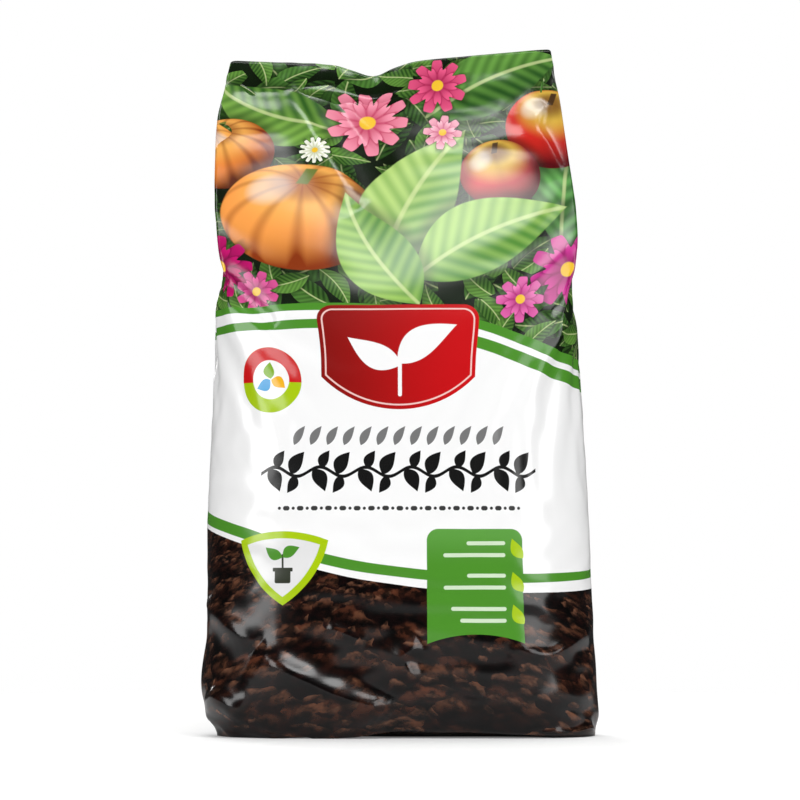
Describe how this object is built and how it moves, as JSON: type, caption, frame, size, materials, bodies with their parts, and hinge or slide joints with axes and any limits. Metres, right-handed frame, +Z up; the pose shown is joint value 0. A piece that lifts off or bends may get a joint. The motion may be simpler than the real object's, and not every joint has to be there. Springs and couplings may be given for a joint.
{
  "type": "compost bag",
  "caption": "Filled, sealed side-gusset film bag of compost with a welded top, standing on its folded-under base.",
  "frame": {"origin": "on the floor under the middle of the bag's footprint", "axes": "+Z up along the bag's height, +Y from the printed front to the back, +X to the right of a viewer facing the front"},
  "size_m": [0.2308, 0.1064, 0.4],
  "materials": {
    "printed_film": "glossy printed polyethylene film: a plant picture field, a white panel with green stripes and a dark soil field"
  },
  "bodies": {
    "root": {"compost_bag": "printed_film"}
  },
  "joints": []
}
